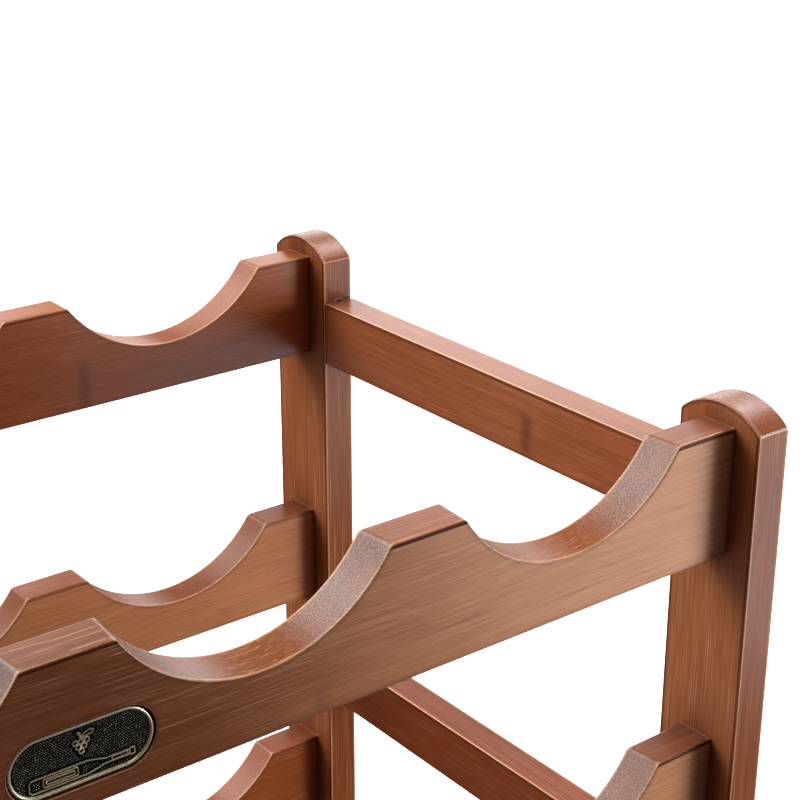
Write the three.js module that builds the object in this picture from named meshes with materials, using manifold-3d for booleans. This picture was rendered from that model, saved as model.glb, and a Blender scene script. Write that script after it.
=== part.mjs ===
// Free-standing bamboo wine rack: four posts, four tiers of scalloped front and back rails, three side rails
// on each side, and an inlaid oval badge in the top front rail.
// Millimetres. X runs along the rack, Y from the front to the back, Z up from the floor.
// The origin is on the floor, under the middle of the rack.
import * as THREE from "three";
import { mergeVertices } from "three/addons/utils/BufferGeometryUtils.js";
import Module from "manifold-3d";

const wasm = await Module();
wasm.setup();

// ---- driving dimensions ----

const TIERS = 4;
const BOTTLES_PER_TIER = 4;
const BOTTLE_PITCH = 100; // from one bottle to the next along a rail
const TIER_PITCH = 102;
const FLOOR_GAP = 30; // under the lowest front rail

const SCALLOP_CHORD = 76.4;
const END_FLAT = 22.4; // from a rail's end to its first scallop
const RAIL_THICKNESS = 12.5;
const RAIL_ROWS = {
  front: { height: 39.4, scallopDepth: 21.5 },
  back: { height: 37, scallopDepth: 20.2 },
};

const POST_WIDTH = 30.4; // along Y
const POST_THICKNESS = 12.2; // along X
const POST_CROWN = 6.2; // rise of the rounded top
const POST_SPACING = 208.6; // front post centre to back post centre

const SIDE_RAIL_THICKNESS = 12.2;
const SIDE_RAIL_SETBACK = 0.6; // from the posts' inner faces to the side rails'
const TOP_SIDE_RAIL_HEIGHT = 23.4;
const LOWER_SIDE_RAIL_HEIGHT = 21.5; // of the middle and bottom side rails
const TOP_SIDE_RAIL_DROP = 16.2; // from the top rails' upper edge to the top side rail's
const MIDDLE_SIDE_RAIL_DROP = 160.4;
const TENON_THICKNESS = 4;
const TENON_LENGTH = 9.5;
const TENON_SHOULDER = 1.2; // above and below the tenon
const MORTISE_DEPTH = 10;
const MORTISE_SIDE_GAP = 0.15;
const MORTISE_END_GAP = 1.8; // the slot's round end shows just above the side rail

const SCREW_DROP = 17; // from a rail's upper edge to its screw
const SCREW_RADIUS = 2.3;
const SCREW_PILOT_RADIUS = 2.4;
const SCREW_LENGTH = 39; // under the head
const SCREW_HEAD_RADIUS = 4.8;
const SCREW_HEAD_HEIGHT = 2;
const SCREW_TIP_LENGTH = 3;
const SCREW_TIP_RADIUS = 0.8;
const SOCKET_RADIUS = 2.2; // corner radius of the hexagon socket
const SOCKET_DEPTH = 1.4;
const COUNTERBORE_RADIUS = 5.1;
const COUNTERBORE_DEPTH = 2.3;
const SCREW_HOLE_SPARE = 1; // past the screw's tip

const DOWEL_DROP = 29.5; // from a rail's upper edge to its dowel
const DOWEL_RADIUS = 2.9;
const DOWEL_HOLE_RADIUS = 3;
const DOWEL_IN_POST = 7.6;
const DOWEL_IN_RAIL = 16;
const DOWEL_CHAMFER = 0.8;
const DOWEL_HOLE_SPARE = 0.5; // past each end of the dowel

const BADGE_LENGTH = 36.4;
const BADGE_HEIGHT = 15.2;
const BADGE_OFFSET = 1.8; // right of the rail's middle
const BADGE_DROP = 25.7; // from the rail's upper edge to the badge's centre
const BADGE_THICKNESS = 1.5;
const BADGE_RIM = 0.9;
const BADGE_FIELD_DEPTH = 0.6; // from the rim down to the field
const BADGE_PAD_THICKNESS = 0.4;
const BADGE_PAD_MARGIN = 1.2;
const BADGE_POCKET_GAP = 0.6; // round the plate
const BADGE_POCKET_DEPTH = 2.3;

const ARC_STEPS = 12; // along a scallop or a post's crown
const SLOT_STEPS = 6; // round one end of a slot
const HOLE_SIDES = 10;
const CUTTER_SPARE = 1; // a cutter's reach past the face it opens

// ---- dimensions worked out from those ----

const RAIL_LENGTH = (BOTTLES_PER_TIER - 1) * BOTTLE_PITCH + SCALLOP_CHORD + 2 * END_FLAT;
const POST_INNER_X = RAIL_LENGTH / 2;
const POST_OUTER_X = POST_INNER_X + POST_THICKNESS;
const POST_HEIGHT = FLOOR_GAP + RAIL_ROWS.front.height + (TIERS - 1) * TIER_PITCH; // to the crown's foot
const RAIL_FRONT_Y = -POST_SPACING / 2 - RAIL_THICKNESS / 2; // front face of the front rails
const SIDE_RAIL_LENGTH = POST_SPACING - POST_WIDTH;
const LOWEST_RAIL_TOP = POST_HEIGHT - (TIERS - 1) * TIER_PITCH;

const railTop = (tier) => LOWEST_RAIL_TOP + (tier - 1) * TIER_PITCH;

// The bottom side rails end flush with the lowest rails' upper edge.
const SIDE_RAILS = {
  bottom: { top: LOWEST_RAIL_TOP, height: LOWER_SIDE_RAIL_HEIGHT },
  middle: { top: POST_HEIGHT - MIDDLE_SIDE_RAIL_DROP, height: LOWER_SIDE_RAIL_HEIGHT },
  top: { top: POST_HEIGHT - TOP_SIDE_RAIL_DROP, height: TOP_SIDE_RAIL_HEIGHT },
};
const SIDE_RAIL_X = POST_INNER_X + SIDE_RAIL_SETBACK + SIDE_RAIL_THICKNESS / 2; // centre line

const SIDES = { left: -1, right: 1 };
const ROWS = { front: -1, back: 1 };

// ---- materials ----

const BAMBOO = new THREE.MeshStandardMaterial({ color: 0x8f5738, roughness: 0.42, metalness: 0 });
const BEECH = new THREE.MeshStandardMaterial({ color: 0xcfa878, roughness: 0.7, metalness: 0 });
const STEEL = new THREE.MeshStandardMaterial({ color: 0x3a3733, roughness: 0.4, metalness: 1 });
const BADGE_METAL = new THREE.MeshStandardMaterial({ color: 0x6e5a36, roughness: 0.35, metalness: 1 });
const FOAM = new THREE.MeshStandardMaterial({ color: 0x2b2b2b, roughness: 0.9, metalness: 0 });

// ---- solids ----

// A closed geometry as a manifold-3d solid.
function solidOf(geometry) {
  const bare = geometry.index ? geometry.toNonIndexed() : geometry.clone();
  bare.deleteAttribute("normal");
  bare.deleteAttribute("uv");
  const merged = mergeVertices(bare, 1e-4);
  return new wasm.Manifold(
    new wasm.Mesh({
      numProp: 3,
      vertProperties: merged.attributes.position.array,
      triVerts: new Uint32Array(merged.index.array),
    }),
  );
}

// A manifold-3d solid as a geometry.
function geometryOf(solid) {
  const mesh = solid.getMesh();
  const positions = new Float32Array(mesh.numVert * 3);
  for (let i = 0; i < mesh.numVert; i++) {
    const start = i * mesh.numProp;
    positions.set(mesh.vertProperties.subarray(start, start + 3), i * 3);
  }
  return new THREE.BufferGeometry()
    .setAttribute("position", new THREE.BufferAttribute(positions, 3))
    .setIndex(new THREE.BufferAttribute(mesh.triVerts, 1));
}

function cut(geometry, cutters) {
  const whole = solidOf(geometry);
  return geometryOf(cutters.reduce((left, cutter) => left.subtract(solidOf(cutter)), whole));
}

function join(geometries) {
  const [first, ...rest] = geometries.map(solidOf);
  return geometryOf(rest.reduce((sum, solid) => sum.add(solid), first));
}

// Each extrusion maps a shape's x and y and its depth z to the rack's axes by a plain rotation.
const EXTRUDE_ALONG_X = new THREE.Matrix4().set(0, 0, 1, 0, 1, 0, 0, 0, 0, 1, 0, 0, 0, 0, 0, 1);
const EXTRUDE_ALONG_MINUS_Y = new THREE.Matrix4().set(1, 0, 0, 0, 0, 0, -1, 0, 0, 1, 0, 0, 0, 0, 0, 1);

// A shape drawn in Y and Z, from x to x + depth.
function extrudeX(shape, x, depth) {
  return new THREE.ExtrudeGeometry(shape, { depth, bevelEnabled: false, curveSegments: ARC_STEPS })
    .applyMatrix4(EXTRUDE_ALONG_X)
    .translate(x, 0, 0);
}

// A shape drawn in X and Z, from y back to y + depth.
function extrudeY(shape, y, depth, curveSegments) {
  return new THREE.ExtrudeGeometry(shape, { depth, bevelEnabled: false, curveSegments })
    .applyMatrix4(EXTRUDE_ALONG_MINUS_Y)
    .translate(0, y + depth, 0);
}

// A shape with straight long sides and half-round ends. It lies along x, or stands along y.
function slotShape(centreX, centreY, length, width, upright = false) {
  const radius = width / 2;
  const reach = length / 2 - radius;
  const [dx, dy] = upright ? [0, reach] : [reach, 0];
  const start = upright ? 0 : -Math.PI / 2;
  return new THREE.Shape()
    .absarc(centreX + dx, centreY + dy, radius, start, start + Math.PI)
    .absarc(centreX - dx, centreY - dy, radius, start + Math.PI, start + 2 * Math.PI);
}

// A straight round bar along X from x to x + length, at a given Y and Z.
function barX(radius, x, length, y, z) {
  return new THREE.CylinderGeometry(radius, radius, length, HOLE_SIDES)
    .rotateZ(Math.PI / 2)
    .translate(x + length / 2, y, z);
}

// A turned piece whose profile runs from the axis out and back to the axis. It points inwards, towards
// the rack's middle, from the post's outer face on the given side.
function turned(profile, side) {
  const points = profile.map(([radius, along]) => new THREE.Vector2(radius, along));
  return new THREE.LatheGeometry(points, HOLE_SIDES).rotateZ((side * Math.PI) / 2);
}

// ---- scalloped rails ----

const scallopCentres = Array.from(
  { length: BOTTLES_PER_TIER },
  (_, i) => (i - (BOTTLES_PER_TIER - 1) / 2) * BOTTLE_PITCH,
);

// A rail's outline in X and Z: straight underneath, with one arc hollowed out of the top for each bottle.
function railShape(row, top) {
  const { height, scallopDepth } = RAIL_ROWS[row];
  const halfChord = SCALLOP_CHORD / 2;
  const radius = (halfChord ** 2 + scallopDepth ** 2) / (2 * scallopDepth);
  const centreZ = top + radius - scallopDepth;
  const halfAngle = Math.asin(halfChord / radius);
  const down = -Math.PI / 2;
  const shape = new THREE.Shape()
    .moveTo(-RAIL_LENGTH / 2, top - height)
    .lineTo(RAIL_LENGTH / 2, top - height)
    .lineTo(RAIL_LENGTH / 2, top);
  for (const x of [...scallopCentres].reverse())
    shape.absarc(x, centreZ, radius, down + halfAngle, down - halfAngle, true);
  return shape.lineTo(-RAIL_LENGTH / 2, top);
}

// The two bores in a rail's end: the screw's pilot hole and the dowel's hole.
function railEndBores(row, top, side) {
  const y = (ROWS[row] * POST_SPACING) / 2;
  const pilot = SCREW_LENGTH + SCREW_HEAD_HEIGHT - POST_THICKNESS + SCREW_HOLE_SPARE;
  const dowel = DOWEL_IN_RAIL + DOWEL_HOLE_SPARE;
  const inwards = (length) => (side > 0 ? POST_INNER_X - length : -POST_INNER_X);
  return [
    barX(SCREW_PILOT_RADIUS, inwards(pilot), pilot, y, top - SCREW_DROP),
    barX(DOWEL_HOLE_RADIUS, inwards(dowel), dowel, y, top - DOWEL_DROP),
  ];
}

// The badge's outline, grown all round by margin.
function badgeShape(margin, top) {
  return slotShape(BADGE_OFFSET, top - BADGE_DROP, BADGE_LENGTH + 2 * margin, BADGE_HEIGHT + 2 * margin);
}

// A cutter that sinks a shape into a front face that lies at y.
function sink(shape, y, depth) {
  return extrudeY(shape, y - CUTTER_SPARE, CUTTER_SPARE + depth, ARC_STEPS);
}

function rail(row, tier) {
  const top = railTop(tier);
  const y = (ROWS[row] * POST_SPACING) / 2 - RAIL_THICKNESS / 2;
  const cutters = Object.values(SIDES).flatMap((side) => railEndBores(row, top, side));
  if (row === "front" && tier === TIERS)
    cutters.push(sink(badgeShape(BADGE_POCKET_GAP, top), y, BADGE_POCKET_DEPTH));
  return cut(extrudeY(railShape(row, top), y, RAIL_THICKNESS, ARC_STEPS), cutters);
}

// ---- posts ----

// A post's outline in Y and Z: a straight bar with a shallow arc for its top.
function postShape(y) {
  const half = POST_WIDTH / 2;
  const radius = (half ** 2 + POST_CROWN ** 2) / (2 * POST_CROWN);
  const centreZ = POST_HEIGHT + POST_CROWN - radius;
  const halfAngle = Math.asin(half / radius);
  const up = Math.PI / 2;
  return new THREE.Shape()
    .moveTo(y - half, 0)
    .lineTo(y + half, 0)
    .absarc(y, centreZ, radius, up - halfAngle, up + halfAngle)
    .lineTo(y - half, 0);
}

// The screw's clearance hole with its counterbore, and the dowel's blind hole, for each tier.
function postBores(row, side) {
  const y = (ROWS[row] * POST_SPACING) / 2;
  const fromOuter = (depth) => (side > 0 ? POST_OUTER_X - depth : -POST_OUTER_X - CUTTER_SPARE);
  const fromInner = (depth) => (side > 0 ? POST_INNER_X - CUTTER_SPARE : -POST_INNER_X - depth);
  const through = POST_THICKNESS + CUTTER_SPARE;
  const sunk = COUNTERBORE_DEPTH;
  const dowelDepth = DOWEL_IN_POST + DOWEL_HOLE_SPARE;
  return Array.from({ length: TIERS }, (_, i) => railTop(i + 1)).flatMap((top) => [
    barX(SCREW_PILOT_RADIUS, fromOuter(through), through + CUTTER_SPARE, y, top - SCREW_DROP),
    barX(COUNTERBORE_RADIUS, fromOuter(sunk), sunk + CUTTER_SPARE, y, top - SCREW_DROP),
    barX(DOWEL_HOLE_RADIUS, fromInner(dowelDepth), dowelDepth + CUTTER_SPARE, y, top - DOWEL_DROP),
  ]);
}

// Round-ended slots in the edge that faces the other post, one for each side rail's tenon.
function mortises(row, side) {
  const facing = -ROWS[row]; // the slots open towards the middle of the rack
  const edge = ROWS[row] * (SIDE_RAIL_LENGTH / 2);
  const y = facing > 0 ? edge - MORTISE_DEPTH : edge - CUTTER_SPARE;
  const width = TENON_THICKNESS + 2 * MORTISE_SIDE_GAP;
  return Object.values(SIDE_RAILS).map(({ top, height }) => {
    const length = height - 2 * TENON_SHOULDER + 2 * MORTISE_END_GAP;
    const shape = slotShape(side * SIDE_RAIL_X, top - height / 2, length, width, true);
    return extrudeY(shape, y, MORTISE_DEPTH + CUTTER_SPARE, SLOT_STEPS);
  });
}

function post(row, side) {
  const x = side > 0 ? POST_INNER_X : -POST_OUTER_X;
  const body = extrudeX(postShape((ROWS[row] * POST_SPACING) / 2), x, POST_THICKNESS);
  return cut(body, [...postBores(row, side), ...mortises(row, side)]);
}

// ---- side rails ----

function sideRail(side, { top, height }) {
  const x = side * SIDE_RAIL_X;
  const z = top - height / 2;
  const body = new THREE.BoxGeometry(SIDE_RAIL_THICKNESS, SIDE_RAIL_LENGTH, height).translate(x, 0, z);
  const tenonHeight = height - 2 * TENON_SHOULDER;
  const tenonSpan = SIDE_RAIL_LENGTH + 2 * TENON_LENGTH;
  const tenonShape = slotShape(x, z, tenonHeight, TENON_THICKNESS, true);
  return join([body, extrudeY(tenonShape, -tenonSpan / 2, tenonSpan, SLOT_STEPS)]);
}

// ---- fasteners ----

// A furniture screw, its flat head sunk in the post's counterbore and its shank in the rail's end grain.
function screw(side) {
  const shoulder = SCREW_HEAD_HEIGHT;
  const tip = SCREW_HEAD_HEIGHT + SCREW_LENGTH;
  const body = turned(
    [
      [0, 0],
      [SCREW_HEAD_RADIUS, 0],
      [SCREW_HEAD_RADIUS, shoulder],
      [SCREW_RADIUS, shoulder],
      [SCREW_RADIUS, tip - SCREW_TIP_LENGTH],
      [SCREW_TIP_RADIUS, tip],
      [0, tip],
    ],
    side,
  );
  const socketSpan = 2 * SOCKET_DEPTH;
  const socket = new THREE.CylinderGeometry(SOCKET_RADIUS, SOCKET_RADIUS, socketSpan, 6).rotateZ(Math.PI / 2);
  return cut(body, [socket]);
}

// A chamfered dowel, measured from the rail's end: negative into the post, positive into the rail.
function dowel(side) {
  return turned(
    [
      [0, -DOWEL_IN_POST],
      [DOWEL_RADIUS - DOWEL_CHAMFER, -DOWEL_IN_POST],
      [DOWEL_RADIUS, -DOWEL_IN_POST + DOWEL_CHAMFER],
      [DOWEL_RADIUS, DOWEL_IN_RAIL - DOWEL_CHAMFER],
      [DOWEL_RADIUS - DOWEL_CHAMFER, DOWEL_IN_RAIL],
      [0, DOWEL_IN_RAIL],
    ],
    side,
  );
}

// ---- badge ----

// A cast oval plate with a raised rim round a sunk field. It rests on its adhesive pad.
const BADGE_BACK_Y = RAIL_FRONT_Y + BADGE_POCKET_DEPTH - BADGE_PAD_THICKNESS;

function badgePlate(top) {
  const y = BADGE_BACK_Y - BADGE_THICKNESS;
  const field = sink(badgeShape(-BADGE_RIM, top), y, BADGE_FIELD_DEPTH);
  return cut(extrudeY(badgeShape(0, top), y, BADGE_THICKNESS, ARC_STEPS), [field]);
}

function badgePad(top) {
  return extrudeY(badgeShape(-BADGE_PAD_MARGIN, top), BADGE_BACK_Y, BADGE_PAD_THICKNESS, ARC_STEPS);
}

// ---- assembly ----

const rack = new THREE.Group();

function add(name, geometry, material) {
  const mesh = new THREE.Mesh(geometry, material);
  mesh.name = name;
  rack.add(mesh);
  return mesh;
}

for (const row of Object.keys(ROWS))
  for (let tier = 1; tier <= TIERS; tier++) add(`${row}_rail_tier_${tier}`, rail(row, tier), BAMBOO);

for (const [sideName, side] of Object.entries(SIDES)) {
  for (const row of Object.keys(ROWS)) {
    add(`${row}_${sideName}_post`, post(row, side), BAMBOO);
    for (let tier = 1; tier <= TIERS; tier++) {
      const y = (ROWS[row] * POST_SPACING) / 2;
      const headX = side * (POST_OUTER_X - (COUNTERBORE_DEPTH - SCREW_HEAD_HEIGHT));
      const innerX = side * POST_INNER_X;
      const place = `${row}_${sideName}_${tier}`;
      add(`screw_${place}`, screw(side), STEEL).position.set(headX, y, railTop(tier) - SCREW_DROP);
      add(`dowel_${place}`, dowel(side), BEECH).position.set(innerX, y, railTop(tier) - DOWEL_DROP);
    }
  }
  for (const [level, place] of Object.entries(SIDE_RAILS))
    add(`${sideName}_side_rail_${level}`, sideRail(side, place), BAMBOO);
}

add("badge_plate", badgePlate(railTop(TIERS)), BADGE_METAL);
add("badge_adhesive_pad", badgePad(railTop(TIERS)), FOAM);

export default rack;
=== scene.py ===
"""The looks of the bamboo wine rack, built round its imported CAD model. Metres, in the model's own frame."""

import dataclasses
import itertools
import math

import bmesh
import bpy
from mathutils import Matrix, Vector


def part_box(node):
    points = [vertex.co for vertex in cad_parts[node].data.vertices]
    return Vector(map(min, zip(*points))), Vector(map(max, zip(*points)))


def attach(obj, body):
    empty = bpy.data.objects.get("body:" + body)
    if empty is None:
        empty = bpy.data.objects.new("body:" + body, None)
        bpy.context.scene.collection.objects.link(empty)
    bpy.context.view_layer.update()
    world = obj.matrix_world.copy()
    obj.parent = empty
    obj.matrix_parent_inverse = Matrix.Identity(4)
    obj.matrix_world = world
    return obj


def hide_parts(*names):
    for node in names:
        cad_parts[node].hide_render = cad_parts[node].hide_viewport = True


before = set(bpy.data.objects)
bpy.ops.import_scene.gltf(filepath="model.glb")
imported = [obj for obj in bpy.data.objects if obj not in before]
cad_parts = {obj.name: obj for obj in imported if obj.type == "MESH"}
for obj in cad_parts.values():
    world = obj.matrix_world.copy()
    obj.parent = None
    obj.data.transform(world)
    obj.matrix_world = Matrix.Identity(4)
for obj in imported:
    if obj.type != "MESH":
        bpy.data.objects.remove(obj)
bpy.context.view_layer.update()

MM = 0.001
TIERS = 4
SIDES = {"left": -1, "right": 1}  # the sign of X
ROWS = {"front": -1, "back": 1}  # the sign of Y
LEVELS = ("bottom", "middle", "top")

# ---- dimensions that the frame's boxes don't give ----

BOTTLE_PITCH = 100 * MM
SCALLOP_CHORD = 76.4 * MM
SCALLOP_DEPTH = {"front": 21.5 * MM, "back": 20.2 * MM}
SCALLOP_TAPER = {"front": 0.9 * MM, "back": 0}  # by how much the far rim of a scallop lies closer in
POST_CROWN = 6.2 * MM
TENON_LENGTH = 9.5 * MM
TENON_THICKNESS = 4 * MM
TENON_SHOULDER = 1.2 * MM
MORTISE_DEPTH = 10 * MM
MORTISE_SIDE_GAP = 0.15 * MM
MORTISE_END_GAP = 1.8 * MM
COUNTERBORE_RADIUS = 5.1 * MM
COUNTERBORE_DEPTH = 2.3 * MM
SCREW_HEAD_HEIGHT = 2 * MM
PILOT_RADIUS = 2.4 * MM
DOWEL_HOLE_RADIUS = 3 * MM
HOLE_SPARE = 1 * MM
BADGE_POCKET_GAP = 0.6 * MM
BADGE_POCKET_DEPTH = 2.3 * MM
POCKET_LIP = 0.2 * MM  # chamfer round the badge's pocket
BADGE_RIM = 0.9 * MM
BADGE_RIM_BEAD = 0.75 * MM  # width of its half-round part
BADGE_RIM_RISE = 0.35 * MM
BADGE_FIELD_DEPTH = 0.6 * MM
BADGE_RELIEF = 0.22 * MM  # height of the knurls over the field
EMBLEM_LINE = 0.36 * MM
RIDGE_CREST = 0.45  # width of a raised line's crest, as a share of its foot's
KNURL_PITCH = 0.72 * MM
KNURL_CLEARANCE = 0.9 * MM  # from the emblem's lines to the nearest pyramid's middle

SCREW_RADIUS = 2.3 * MM
SCREW_LENGTH = 39 * MM
SCREW_HEAD_RADIUS = 4.8 * MM
SCREW_SHANK_LENGTH = 12 * MM
SCREW_TIP_LENGTH = 3 * MM
SCREW_TIP_RADIUS = 0.8 * MM
SOCKET_RADIUS = 2.2 * MM
SOCKET_DEPTH = 1.4 * MM
THREAD_PITCH = 2 * MM
THREAD_ROOT = 1.75 * MM
DOWEL_RADIUS = 2.9 * MM
DOWEL_CHAMFER = 0.8 * MM

ARRIS = 1.0 * MM  # radius of the sanded edges
CROWN_ARRIS = 1.7 * MM  # and of those round a post's crown
CRISP_SHARE = 0.45  # share of it on the edges below a front or back rail's or a post's top
BUTT_SHARE = 0.25  # and on ends that butt against another piece
ARRIS_SEGMENTS = 4
TOUCHING = 0.01 * MM  # closer than this counts as in the same plane
ARC_STEPS = 40
SMOOTH_ANGLE = math.radians(25)  # an edge that turns less isn't rounded
SHARP_ANGLE = math.radians(40)  # an edge that turns more is shaded as a sharp one

# ---- mesh helpers ----


def new_object(name, mesh):
    piece = bpy.data.objects.new(name, mesh)
    bpy.context.scene.collection.objects.link(piece)
    return piece


def finished(bm, name):
    """A closed body's mesh, with its faces turned outwards."""
    bmesh.ops.recalc_face_normals(bm, faces=bm.faces)
    mesh = bpy.data.meshes.new(name)
    bm.to_mesh(mesh)
    bm.free()
    return mesh


def skinned(name, rings):
    """A closed body with its skin stretched from each ring of points to the next, and with flat ends."""
    bm = bmesh.new()
    rings = [[bm.verts.new(point) for point in ring] for ring in rings]
    for ring, after in zip(rings, rings[1:]):
        for i in range(len(ring)):
            j = (i + 1) % len(ring)
            bm.faces.new((ring[i], ring[j], after[j], after[i]))
    bm.faces.new(rings[0])
    bm.faces.new(rings[-1])
    mesh = finished(bm, name)
    mesh.shade_smooth()
    mesh.set_sharp_from_angle(angle=SHARP_ANGLE)
    return mesh


def middle(low, high):
    return [(a + b) / 2 for a, b in zip(low, high)]


def arc(centre, radius, start, end, steps=ARC_STEPS):
    """Points round an arc, both ends included."""
    angles = [start + (end - start) * i / steps for i in range(steps + 1)]
    return [(centre[0] + radius * math.cos(a), centre[1] + radius * math.sin(a)) for a in angles]


def chord_circle(chord, sagitta):
    """(radius, half angle) of the arc with that chord and sagitta."""
    radius = (chord * chord / 4 + sagitta * sagitta) / (2 * sagitta)
    return radius, math.asin(chord / 2 / radius)


def slot_outline(centre, length, width, upright=False, steps=12):
    """A slot's closed outline, lying along the first axis or standing along the second."""
    radius = width / 2
    reach = length / 2 - radius
    offset = (0, reach) if upright else (reach, 0)
    start = 0 if upright else -math.pi / 2
    ends = []
    for sign, turn in ((1, 0), (-1, math.pi)):
        end = (centre[0] + sign * offset[0], centre[1] + sign * offset[1])
        ends += arc(end, radius, start + turn, start + turn + math.pi, steps)
    return ends


def place(axis, a, b, level):
    """A point on an outline's plane. The outline's two axes are the two that aren't its own, in order."""
    return (level, a, b) if axis == "X" else (a, level, b)


def prism(name, outline, axis, low, high, far_outline=None):
    """A closed bar from low to high along axis, as an object. Its outline can change on the way, point by
    point."""
    bm = bmesh.new()
    ends = ((outline, low), (far_outline or outline, high))
    rings = [[bm.verts.new(place(axis, a, b, level)) for a, b in points] for points, level in ends]
    for ring in rings:
        bm.faces.new(ring)
    for i in range(len(outline)):
        j = (i + 1) % len(outline)
        bm.faces.new((rings[0][i], rings[0][j], rings[1][j], rings[1][i]))
    return new_object(name, finished(bm, name))


def soften(piece, width, butt=None, crisp=None):
    """Rounds every edge that turns sharply. butt is (axis, half length): edges in those end planes stay
    nearly sharp. crisp says which other edges have a smaller radius."""
    bm = bmesh.new()
    bm.from_mesh(piece.data)
    weight = bm.edges.layers.float.new("bevel_weight_edge")
    for edge in bm.edges:
        if edge.calc_face_angle(0) < SMOOTH_ANGLE:
            continue
        edge[weight] = 1
        if butt:
            axis, half = butt
            index = "XYZ".index(axis)
            if all(abs(abs(v.co[index]) - half) < TOUCHING for v in edge.verts):
                edge[weight] = BUTT_SHARE
                continue
        if crisp and crisp(edge):
            edge[weight] = CRISP_SHARE
    bm.to_mesh(piece.data)
    bm.free()
    bevel = piece.modifiers.new("arrises", "BEVEL")
    bevel.width = width
    bevel.segments = ARRIS_SEGMENTS
    bevel.limit_method = "WEIGHT"
    bevel.use_clamp_overlap = True
    bevel.miter_outer = "MITER_SHARP"


def carve(piece, cutters):
    for cutter in cutters:
        boolean = piece.modifiers.new("cut", "BOOLEAN")
        boolean.operation = "DIFFERENCE"
        boolean.solver = "EXACT"
        boolean.object = cutter


def settle(piece, helpers=()):
    """Applies the modifiers, deletes the helper objects and smooths the shading over the rounded edges."""
    depsgraph = bpy.context.evaluated_depsgraph_get()
    mesh = bpy.data.meshes.new_from_object(piece.evaluated_get(depsgraph), depsgraph=depsgraph)
    piece.modifiers.clear()
    piece.data = mesh
    mesh.name = piece.name
    for helper in helpers:
        bpy.data.objects.remove(helper)
    mesh.shade_smooth()
    mesh.set_sharp_from_angle(angle=SHARP_ANGLE)
    normals = piece.modifiers.new("normals", "WEIGHTED_NORMAL")
    normals.keep_sharp = True
    normals.weight = 100
    return piece


def bar(name, axis, radius, low, high, a, b, sides=32):
    """A round bar along axis, used to drill holes."""
    return prism(name, arc((a, b), radius, 0, 2 * math.pi, sides)[:-1], axis, low, high)


# ---- materials ----


class Shader:
    """A material's node tree, written as nested calls."""

    def __init__(self, name):
        self.material = bpy.data.materials.new(name)
        self.material.use_nodes = True
        self.tree = self.material.node_tree
        self.tree.nodes.clear()
        self.surface = self.node("ShaderNodeBsdfPrincipled")
        output = self.node("ShaderNodeOutputMaterial")
        self.tree.links.new(self.surface.outputs[0], output.inputs["Surface"])

    def node(self, kind, **settings):
        node = self.tree.nodes.new(kind)
        for key, value in settings.items():
            setattr(node, key, value)
        return node

    def feed(self, socket, value):
        if isinstance(value, bpy.types.NodeSocket):
            self.tree.links.new(value, socket)
        elif value is not None:
            socket.default_value = value

    def set(self, name, value):
        self.feed(self.surface.inputs[name], value)

    def math(self, operation, a, b=None, c=None):
        node = self.node("ShaderNodeMath", operation=operation)
        for socket, value in zip(node.inputs, (a, b, c)):
            self.feed(socket, value)
        return node.outputs[0]

    def split(self, vector):
        node = self.node("ShaderNodeSeparateXYZ")
        self.feed(node.inputs[0], vector)
        return node.outputs

    def join(self, x, y, z):
        node = self.node("ShaderNodeCombineXYZ")
        for socket, value in zip(node.inputs, (x, y, z)):
            self.feed(socket, value)
        return node.outputs[0]

    def noise(self, vector, detail=2, roughness=0.5, scale=1):
        node = self.node("ShaderNodeTexNoise", noise_dimensions="3D")
        self.feed(node.inputs["Vector"], vector)
        self.feed(node.inputs["Scale"], scale)
        self.feed(node.inputs["Detail"], detail)
        self.feed(node.inputs["Roughness"], roughness)
        return node.outputs["Fac"]

    def span(self, value, low, high, to_low=0, to_high=1, smooth=True):
        """value mapped from low..high to to_low..to_high and held at the ends."""
        kind = "SMOOTHSTEP" if smooth else "LINEAR"
        node = self.node("ShaderNodeMapRange", interpolation_type=kind, clamp=True)
        for socket, number in zip(node.inputs, (value, low, high, to_low, to_high)):
            self.feed(socket, number)
        return node.outputs[0]

    def openness(self, distance, inside=False):
        """1 in the open and less in a corner; or, from inside, 1 in mid face and less near an edge."""
        node = self.node("ShaderNodeAmbientOcclusion", inside=inside, only_local=inside, samples=6)
        node.inputs["Distance"].default_value = distance
        return node.outputs["AO"]

    def scaled(self, colour, factor):
        node = self.node("ShaderNodeVectorMath", operation="SCALE")
        self.feed(node.inputs[0], colour)
        self.feed(node.inputs["Scale"], factor)
        return node.outputs[0]

    def blend(self, factor, a, b, mode="MIX"):
        node = self.node("ShaderNodeMix", data_type="RGBA", blend_type=mode)
        self.feed(node.inputs[0], factor)
        for socket, value in zip((node.inputs[6], node.inputs[7]), (a, b)):
            self.feed(socket, (*value, 1) if isinstance(value, tuple) else value)
        return node.outputs[2]

    def ramp(self, value, stops):
        node = self.node("ShaderNodeValToRGB")
        self.feed(node.inputs[0], value)
        elements = node.color_ramp.elements
        while len(elements) < len(stops):
            elements.new(0.5)
        for element, (position, colour) in zip(elements, stops):
            element.position = position
            element.color = (*colour, 1)
        return node.outputs[0]

    def bump(self, height, distance, strength):
        node = self.node("ShaderNodeBump")
        self.feed(node.inputs["Height"], height)
        self.feed(node.inputs["Distance"], distance)
        self.feed(node.inputs["Strength"], strength)
        return node.outputs[0]


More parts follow.
